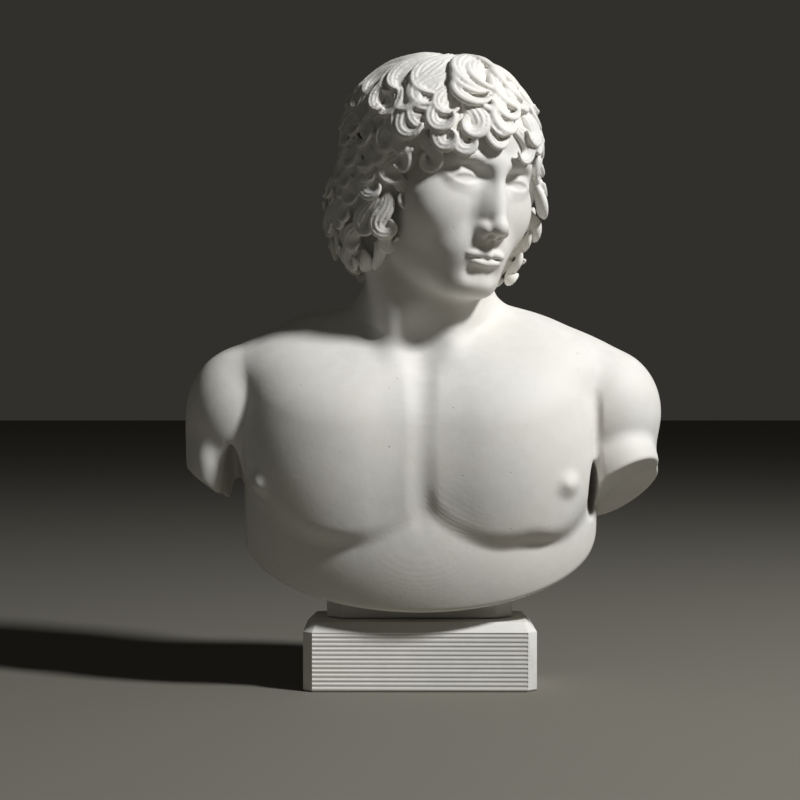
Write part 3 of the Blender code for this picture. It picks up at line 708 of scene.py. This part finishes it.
def mixed(values):
    """Whether the surface passes between these values."""
    low = values < 0
    return low.any() and not low.all()


def sculpt(clay, low, high, step):
    """The clay's surface as points and four-cornered faces, followed block by block."""
    low = np.array(low, float)
    counts = np.ceil((np.array(high) - low) / (step * BLOCK)).astype(int)
    shape = counts * BLOCK + 1
    strides = np.array([shape[1] * shape[2], shape[2], 1])
    todo = [(counts[0] // 2, counts[1] // 2, k) for k in range(counts[2])]
    seen, found = set(todo), []
    while todo:
        block = todo.pop()
        start = np.array(block) * BLOCK
        x, y, z = [(low[i] + (start[i] + np.arange(BLOCK + 1)) * step).astype(np.float32) for i in range(3)]
        value = clay.field(x[:, None, None], y[None, :, None], z[None, None, :])
        if not mixed(value):
            continue
        found.append(block_net(value, start, low, step, strides))
        for axis in range(3):
            for way, face in ((-1, 0), (1, BLOCK)):
                beside = tuple(b + way * (i == axis) for i, b in enumerate(block))
                inside = all(0 <= b < c for b, c in zip(beside, counts))
                if inside and beside not in seen and mixed(value.take(face, axis=axis)):
                    seen.add(beside)
                    todo.append(beside)
    ids, points, faces = [np.concatenate(part) for part in zip(*found)]
    order = np.argsort(ids)
    ids, points = ids[order], points[order]
    spots = np.searchsorted(ids, faces)
    good = (ids[np.clip(spots, 0, len(ids) - 1)] == faces).all(axis=1)
    return largest_piece(points, spots[good])


def largest_piece(points, faces):
    """Keeps the largest connected piece of a mesh."""
    label = np.arange(len(points))
    while True:
        least = label[faces].min(axis=1)
        new = label.copy()
        for corner in range(4):
            np.minimum.at(new, faces[:, corner], least)
        new = new[new]
        new = new[new]
        if (new == label).all():
            break
        label = new
    names, sizes = np.unique(label, return_counts=True)
    keep = label == names[np.argmax(sizes)]
    number = np.cumsum(keep) - 1
    return points[keep], number[faces[keep[faces[:, 0]]]]


def sculpted(name, clay, span, settings):
    """The clay as a smooth mesh within the settings' triangles, stood where the model's bust stands."""
    step = settings.step / SHARE * 1
    points, faces = sculpt(clay, *span, step)
    mesh = bpy.data.meshes.new(name)
    mesh.vertices.add(len(points))
    stood = points * SHARE + (0, 0, BUST_LOW.z - FOOT * SHARE)
    mesh.vertices.foreach_set("co", stood.astype(np.float32).ravel())
    mesh.loops.add(faces.size)
    mesh.loops.foreach_set("vertex_index", faces.ravel().astype(np.int32))
    mesh.polygons.add(len(faces))
    mesh.polygons.foreach_set("loop_start", np.arange(0, faces.size, 4, dtype=np.int32))
    mesh.update(calc_edges=True)
    piece = bpy.data.objects.new(name, mesh)
    bpy.context.scene.collection.objects.link(piece)
    if 2 * len(faces) > settings.triangles:
        piece.modifiers.new("triangles", "TRIANGULATE")
        thin = piece.modifiers.new("thin", "DECIMATE")
        thin.ratio = settings.triangles / (2 * len(faces))
    settle(piece)
    piece.data.shade_smooth()
    return piece


def settle(piece):
    """Replaces the piece's mesh by what its modifiers make of it."""
    seen = piece.evaluated_get(bpy.context.evaluated_depsgraph_get())
    mesh = bpy.data.meshes.new_from_object(seen)
    piece.modifiers.clear()
    old = piece.data
    piece.data = mesh
    bpy.data.meshes.remove(old)


class Signal:
    """A shader socket with the arithmetic that the finishes use."""

    def __init__(self, finish, socket):
        self.finish, self.socket = finish, socket

    def math(self, operation, first, second):
        return self.finish.add("ShaderNodeMath", {"operation": operation}, {0: first, 1: second})

    def __add__(self, other):
        return self.math("ADD", self, other)

    __radd__ = __add__

    def __mul__(self, other):
        return self.math("MULTIPLY", self, other)

    __rmul__ = __mul__

    def __sub__(self, other):
        return self.math("SUBTRACT", self, other)

    def __rsub__(self, other):
        return self.math("SUBTRACT", other, self)

    def __truediv__(self, other):
        return self.math("DIVIDE", self, other)

    def __rtruediv__(self, other):
        return self.math("DIVIDE", other, self)

    def __lt__(self, other):
        return self.math("LESS_THAN", self, other)

    def __gt__(self, other):
        return self.math("GREATER_THAN", self, other)


class Finish:
    """A material whose nodes all come from one method."""

    def __init__(self, name):
        self.material = bpy.data.materials.new(name)
        self.material.use_nodes = True
        self.tree = self.material.node_tree
        self.tree.nodes.clear()

    def add(self, kind, settings, sockets, output=0):
        """Adds a node, sets it, feeds its sockets with values or links and gives one of its outputs."""
        node = self.tree.nodes.new(kind)
        for name, value in settings.items():
            setattr(node, name, value)
        for name, value in sockets.items():
            if isinstance(value, Signal):
                self.tree.links.new(value.socket, node.inputs[name])
            else:
                node.inputs[name].default_value = value
        return Signal(self, node.outputs[output]) if node.outputs else None

    def noise(self, place, scale, detail):
        return self.add("ShaderNodeTexNoise", {}, {"Vector": place, "Scale": scale, "Detail": detail})

    def rings(self, place, pitch, middle, reach):
        """Faint casting layers, stacked from front to back, seen around the pit of the stomach."""
        layers = self.add("ShaderNodeSeparateXYZ", {}, {"Vector": place}, "Y") * (2 * math.pi / pitch)
        wave = self.add("ShaderNodeMath", {"operation": "SINE"}, {0: layers})
        flat = self.add("ShaderNodeVectorMath", {"operation": "MULTIPLY"}, {0: place, 1: (1, 0, 1)})
        away = self.add("ShaderNodeVectorMath", {"operation": "DISTANCE"}, {0: flat, 1: middle}, "Value")
        return wave * (1 - self.smooth_step(away, reach * RING_FULL, reach))

    def smooth_step(self, value, start, end):
        settings = {"interpolation_type": "SMOOTHSTEP"}
        return self.add("ShaderNodeMapRange", settings, {"Value": value, "From Min": start, "From Max": end})

    def blend(self, share, first, second):
        """A colour between two, by share."""
        return self.add("ShaderNodeMix", {"data_type": "RGBA"}, {0: share, 6: first, 7: second}, 2)


# each noise's scale, in spots to the metre, and its detail
CLOUDS = (22.0, 3.0)
MOTTLE = (160.0, 4.0)
GRAIN = (2600.0, 3.0)
LUMPS = (420.0, 2.0)
# the noise at which clouds and mottle start to show, and at which they show in full
CLOUD_RISE = (0.35, 0.7)
MOTTLE_RISE = (0.4, 0.65)
# cells to the metre, some of which hold a pore, and a pore's least reach and how much wider the
# widest is, in shares of a cell
PORE_CELLS = 260.0
PORE_REACH = 0.045
PORE_SPREAD = 0.09
# the share of its reach at which a pore's rim starts
PORE_RIM = 0.55
# how much of the pale tone and of the pore's own tone comes through
PALE_SHARE = 0.35
PORE_SHADE = 0.55
# how far the roughness swings with the mottle, and the lumps' height against the grain's
ROUGH_SWING = 0.08
LUMP_HEIGHT = 1.6
SPECULAR = 0.35
# the share of their reach within which the casting layers show in full
RING_FULL = 0.3


def plaster(name):
    """Matte cast plaster: clouds of tone, paler patches, fine grain, stray pores and casting layers."""
    look = bpy.context.scene.bust_plaster
    f = Finish(name)
    place = f.add("ShaderNodeTexCoord", {}, {}, "Object")
    clouds = f.smooth_step(f.noise(place, *CLOUDS), *CLOUD_RISE)
    mottle = f.smooth_step(f.noise(place, *MOTTLE), *MOTTLE_RISE)
    grain = f.noise(place, *GRAIN)
    lumps = f.noise(place, *LUMPS)
    cells = {"feature": "F1", "distance": "EUCLIDEAN"}, {"Vector": place, "Scale": PORE_CELLS}
    spot = f.add("ShaderNodeTexVoronoi", *cells, "Distance")
    pick = f.add("ShaderNodeTexVoronoi", *cells, "Color")
    chance = f.add("ShaderNodeSeparateColor", {}, {"Color": pick}, "Red")
    size = f.add("ShaderNodeSeparateColor", {}, {"Color": pick}, "Green")
    reach = PORE_REACH + size * PORE_SPREAD
    pore = (1 - f.smooth_step(spot / reach, PORE_RIM, 1.0)) * (chance < look.pore_share)
    tone = f.blend(clouds, (*look.warm_tone, 1), (*look.cool_tone, 1))
    tone = f.blend(mottle * PALE_SHARE, tone, (*look.pale_tone, 1))
    tone = f.blend(pore * PORE_SHADE, tone, (*look.pore_tone, 1))
    rough = look.roughness + (mottle - 0.5) * ROUGH_SWING
    rings = f.rings(place, look.ring_pitch, look.ring_middle, look.ring_reach)
    height = grain * look.grain_depth + lumps * (look.grain_depth * LUMP_HEIGHT) - pore * look.pore_depth
    height = height + rings * look.ring_depth
    bump = f.add("ShaderNodeBump", {}, {"Strength": 1.0, "Distance": 1.0, "Height": height})
    looks = {"Base Color": tone, "Roughness": rough, "Normal": bump, "Specular IOR Level": SPECULAR}
    shader = f.add("ShaderNodeBsdfPrincipled", {}, looks)
    f.add("ShaderNodeOutputMaterial", {}, {"Surface": shader})
    return f.material


class BustFigure(bpy.types.PropertyGroup):
    step: FloatProperty(
        name="Grid step", description="Grid step of the figure's field", default=0.00070, unit="LENGTH"
    )
    triangles: IntProperty(name="Triangles", description="Most triangles in the figure", default=196000)


class BustHair(bpy.types.PropertyGroup):
    step: FloatProperty(
        name="Grid step", description="Grid step of the hair's field", default=0.00060, unit="LENGTH"
    )
    triangles: IntProperty(name="Triangles", description="Most triangles in the hair", default=196000)


class BustPlinth(bpy.types.PropertyGroup):
    chamfer: FloatProperty(name="Chamfer", description="Width of a chamfer", default=0.0046, unit="LENGTH")
    foot: FloatProperty(name="Foot", description="Chamfer at the foot", default=0.0010, unit="LENGTH")
    pitch: FloatProperty(name="Rib pitch", description="Rib to rib", default=0.00213, unit="LENGTH")
    groove: FloatProperty(name="Groove", description="Half a groove's width", default=0.00075, unit="LENGTH")
    depth: FloatProperty(name="Depth", description="Depth of a groove", default=0.00027, unit="LENGTH")
    margin: FloatProperty(name="Margin", description="Foot to first groove", default=0.0016, unit="LENGTH")
    soft: FloatProperty(name="Softening", description="Rounding of edges", default=0.00018, unit="LENGTH")


class BustPlaster(bpy.types.PropertyGroup):
    warm_tone: FloatVectorProperty(
        name="Warm tone", description="Warmer plaster", subtype="COLOR", default=(0.745, 0.725, 0.68)
    )
    cool_tone: FloatVectorProperty(
        name="Cool tone", description="Cooler plaster", subtype="COLOR", default=(0.70, 0.69, 0.66)
    )
    pale_tone: FloatVectorProperty(
        name="Pale tone", description="Rubbed, paler spots", subtype="COLOR", default=(0.78, 0.77, 0.735)
    )
    pore_tone: FloatVectorProperty(
        name="Pore tone", description="Inside of the pores", subtype="COLOR", default=(0.30, 0.28, 0.25)
    )
    roughness: FloatProperty(
        name="Roughness", description="How matte the plaster is", default=0.62, subtype="FACTOR"
    )
    pore_share: FloatProperty(
        name="Pores", description="Share of the cells that hold a pore", default=0.10, subtype="FACTOR"
    )
    pore_depth: FloatProperty(name="Pore depth", description="A pore's depth", default=0.0002, unit="LENGTH")
    grain_depth: FloatProperty(name="Grain", description="Grain's height", default=0.00003, unit="LENGTH")
    ring_pitch: FloatProperty(
        name="Layers", description="From one casting layer to the next", default=0.0006, unit="LENGTH"
    )
    ring_depth: FloatProperty(
        name="Layer depth", description="Depth of the casting layers", default=0.00001, unit="LENGTH"
    )
    ring_reach: FloatProperty(
        name="Layer reach", description="How far the casting layers show", default=0.036, unit="LENGTH"
    )
    ring_middle: FloatVectorProperty(
        name="Layer place", description="Their middle", subtype="TRANSLATION", default=(0.004, 0, 0.075)
    )


class BustStage(bpy.types.PropertyGroup):
    floor_tone: FloatVectorProperty(
        name="Floor", description="Colour of the floor", subtype="COLOR", default=(0.17, 0.16, 0.135)
    )
    floor_roughness: FloatProperty(
        name="Floor roughness", description="How matte the floor is", default=0.9, subtype="FACTOR"
    )
    floor_reach: FloatProperty(
        name="Floor reach", description="From the floor's middle to its sides", default=12.0, unit="LENGTH"
    )
    world_tone: FloatVectorProperty(
        name="Backdrop", description="Colour all around", subtype="COLOR", default=(0.62, 0.585, 0.50)
    )
    world_strength: FloatProperty(
        name="Ambient", description="Strength of the light from all around", default=0.05
    )
    aim: FloatVectorProperty(
        name="Aim", description="Where both lights point", subtype="TRANSLATION", default=(0, 0, 0.15)
    )
    key: FloatProperty(name="Key light", description="Power of the main light", default=31.0, unit="POWER")
    key_size: FloatProperty(name="Key size", description="Main light's width", default=0.24, unit="LENGTH")
    key_place: FloatVectorProperty(
        name="Key place", description="Its place", subtype="TRANSLATION", default=(0.99, -0.69, 1.24)
    )
    fill: FloatProperty(name="Fill light", description="Power of the fill light", default=0.3, unit="POWER")
    fill_size: FloatProperty(name="Fill size", description="Fill light's width", default=1.2, unit="LENGTH")
    fill_place: FloatVectorProperty(
        name="Fill place", description="Its place", subtype="TRANSLATION", default=(-1.2, -1.0, 0.5)
    )
    camera_place: FloatVectorProperty(
        name="Camera", description="Its place", subtype="TRANSLATION", default=(-0.00975, -0.93, 0.1418)
    )
    view_angle: FloatProperty(
        name="View", description="The camera's angle of view", default=math.radians(24.3), subtype="ANGLE"
    )


GROUPS = {
    "bust_figure": BustFigure,
    "bust_hair": BustHair,
    "bust_plinth": BustPlinth,
    "bust_plaster": BustPlaster,
    "bust_stage": BustStage,
}


def hand_in(piece, node, finish):
    """Gives a piece its finish and its place in the frame."""
    piece.data.materials.clear()
    piece.data.materials.append(finish)
    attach(piece, "root")
    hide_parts(node)


class MakeFigure(bpy.types.Operator):
    """Sculpt the head, chest, arm stumps and pillar"""

    bl_idname = "bust.make_figure"
    bl_label = "Figure"

    def execute(self, context):
        piece = sculpted("bust_figure", figure(), FIGURE_SPAN, context.scene.bust_figure)
        hand_in(piece, "bust", plaster("figure_plaster"))
        return {"FINISHED"}


class MakeHair(bpy.types.Operator):
    """Sculpt the cap of curled locks"""

    bl_idname = "bust.make_hair"
    bl_label = "Hair"

    def execute(self, context):
        clay = Clay()
        clay.frame = (HEAD_TURN, HEAD_AT)
        hair(clay)
        piece = sculpted("bust_hair", clay, HAIR_SPAN, context.scene.bust_hair)
        hand_in(piece, "bust", plaster("hair_plaster"))
        return {"FINISHED"}


def solid(name, made):
    """A bmesh as an object of the scene."""
    mesh = bpy.data.meshes.new(name)
    made.to_mesh(mesh)
    made.free()
    piece = bpy.data.objects.new(name, mesh)
    bpy.context.scene.collection.objects.link(piece)
    return piece


def chamfer(block, chosen, width):
    """Bevels the edges for which chosen(its middle, its direction) holds."""
    edges = []
    for edge in block.edges:
        a, b = (v.co for v in edge.verts)
        if chosen((a + b) / 2, (b - a).normalized()):
            edges.append(edge)
    bmesh.ops.bevel(block, geom=edges, offset=width, offset_type="OFFSET", segments=1, affect="EDGES")


# how near an edge has to be to upright, to the top or to the foot to count as such
NEARLY = 0.99
# how far the grooving bars start in front of the plinth's face, and the sides of their round
RIB_LEAD = 0.0002
RIB_SIDES = 8
# edges sharper than the first are softened, and those sharper than the second stay sharp in shading
SOFTEN_FROM = math.radians(24)
SHARP_FROM = math.radians(35)


def rib_grooves(settings, face, half, top):
    """A comb of round-bottomed bars that cuts the grooves between the ribs of the front."""
    comb = bmesh.new()
    first = settings.foot + settings.margin
    count = int((top - settings.chamfer - first) / settings.pitch) + 1
    turns = [math.pi * i / RIB_SIDES for i in range(RIB_SIDES + 1)]
    for i in range(count):
        z = first + i * settings.pitch
        ends = []
        for x in (-half, half):
            ring = []
            for t in turns:
                y = face - RIB_LEAD + (settings.depth + RIB_LEAD) * math.sin(t)
                ring.append(comb.verts.new((x, y, z - settings.groove * math.cos(t))))
            ends.append(ring)
        comb.faces.new(ends[0][::-1])
        comb.faces.new(ends[1])
        for j in range(len(turns)):
            k = (j + 1) % len(turns)
            comb.faces.new((ends[0][j], ends[0][k], ends[1][k], ends[1][j]))
    bmesh.ops.recalc_face_normals(comb, faces=comb.faces)
    return comb


class MakePlinth(bpy.types.Operator):
    """Build the chamfered plinth with its ribbed front"""

    bl_idname = "bust.make_plinth"
    bl_label = "Plinth"

    def execute(self, context):
        settings = context.scene.bust_plinth
        size = PLINTH_HIGH - PLINTH_LOW
        middle = (PLINTH_HIGH + PLINTH_LOW) / 2
        block = bmesh.new()
        matrix = Matrix.Translation(middle) @ Matrix.Diagonal((*size, 1.0))
        bmesh.ops.create_cube(block, size=1.0, matrix=matrix)
        chamfer(block, lambda spot, way: abs(way.z) > NEARLY, settings.chamfer)
        chamfer(block, lambda spot, way: spot.z > NEARLY * PLINTH_HIGH.z, settings.chamfer)
        chamfer(block, lambda spot, way: spot.z < (1 - NEARLY) * PLINTH_HIGH.z, settings.foot)
        piece = solid("plinth_block", block)
        grooves = rib_grooves(settings, PLINTH_LOW.y, size.x / 2 - settings.chamfer, PLINTH_HIGH.z)
        comb = solid("rib_comb", grooves)
        cut = piece.modifiers.new("ribs", "BOOLEAN")
        cut.operation = "DIFFERENCE"
        cut.object = comb
        soft = piece.modifiers.new("soft", "BEVEL")
        soft.width = settings.soft
        soft.segments = 2
        soft.limit_method = "ANGLE"
        soft.angle_limit = SOFTEN_FROM
        settle(piece)
        bpy.data.objects.remove(comb)
        piece.data.shade_smooth()
        piece.data.set_sharp_from_angle(angle=SHARP_FROM)
        hand_in(piece, "plinth", plaster("plinth_plaster"))
        return {"FINISHED"}


def area_light(name, place, target, size, power):
    data = bpy.data.lights.new(name, "AREA")
    data.shape = "DISK"
    data.size = size
    data.energy = power
    light = bpy.data.objects.new(name, data)
    light.location = place
    light.rotation_euler = (Vector(target) - Vector(place)).to_track_quat("-Z", "Y").to_euler()
    bpy.context.scene.collection.objects.link(light)


# the camera sensor's width in millimetres
SENSOR_WIDTH = 36.0


class MakeStage(bpy.types.Operator):
    """Lay the floor and set the lights and the camera"""

    bl_idname = "bust.make_stage"
    bl_label = "Stage"

    def execute(self, context):
        settings = context.scene.bust_stage
        sheet = bmesh.new()
        bmesh.ops.create_grid(sheet, x_segments=1, y_segments=1, size=settings.floor_reach)
        floor = solid("floor", sheet)
        matte = Finish("floor_matte")
        looks = {"Base Color": (*settings.floor_tone, 1), "Roughness": settings.floor_roughness}
        shader = matte.add("ShaderNodeBsdfPrincipled", {}, looks)
        matte.add("ShaderNodeOutputMaterial", {}, {"Surface": shader})
        floor.data.materials.append(matte.material)
        world = bpy.data.worlds.new("studio")
        world.use_nodes = True
        back = world.node_tree.nodes["Background"]
        back.inputs["Color"].default_value = (*settings.world_tone, 1)
        back.inputs["Strength"].default_value = settings.world_strength
        context.scene.world = world
        area_light("key", settings.key_place, settings.aim, settings.key_size, settings.key)
        area_light("fill", settings.fill_place, settings.aim, settings.fill_size, settings.fill)
        context.scene.view_settings.view_transform = "Standard"
        data = bpy.data.cameras.new("camera")
        data.sensor_width = SENSOR_WIDTH
        data.lens = SENSOR_WIDTH / 2 / math.tan(settings.view_angle / 2)
        camera = bpy.data.objects.new("camera", data)
        camera.location = settings.camera_place
        camera.rotation_euler = (math.pi / 2, 0, 0)
        context.scene.collection.objects.link(camera)
        context.scene.camera = camera
        return {"FINISHED"}


class BustPanel(bpy.types.Panel):
    """Lists the bust's pieces"""

    bl_idname = "BUST_PT_pieces"
    bl_label = "Classical Bust"
    bl_space_type = "VIEW_3D"
    bl_region_type = "UI"
    bl_category = "Bust"

    def draw(self, context):
        for maker in MAKERS:
            self.layout.operator(maker.bl_idname)
        for name, group in GROUPS.items():
            for key in group.__annotations__:
                self.layout.prop(getattr(context.scene, name), key)


MAKERS = (MakeFigure, MakeHair, MakePlinth, MakeStage)


def register():
    for name, group in GROUPS.items():
        bpy.utils.register_class(group)
        setattr(bpy.types.Scene, name, PointerProperty(type=group))
    for kind in (*MAKERS, BustPanel):
        bpy.utils.register_class(kind)


def unregister():
    for kind in (BustPanel, *reversed(MAKERS)):
        bpy.utils.unregister_class(kind)
    for name, group in GROUPS.items():
        delattr(bpy.types.Scene, name)
        bpy.utils.unregister_class(group)


def main():
    register()
    bpy.ops.bust.make_figure()
    bpy.ops.bust.make_hair()
    bpy.ops.bust.make_plinth()
    bpy.ops.bust.make_stage()


if __name__ == "__main__":
    main()
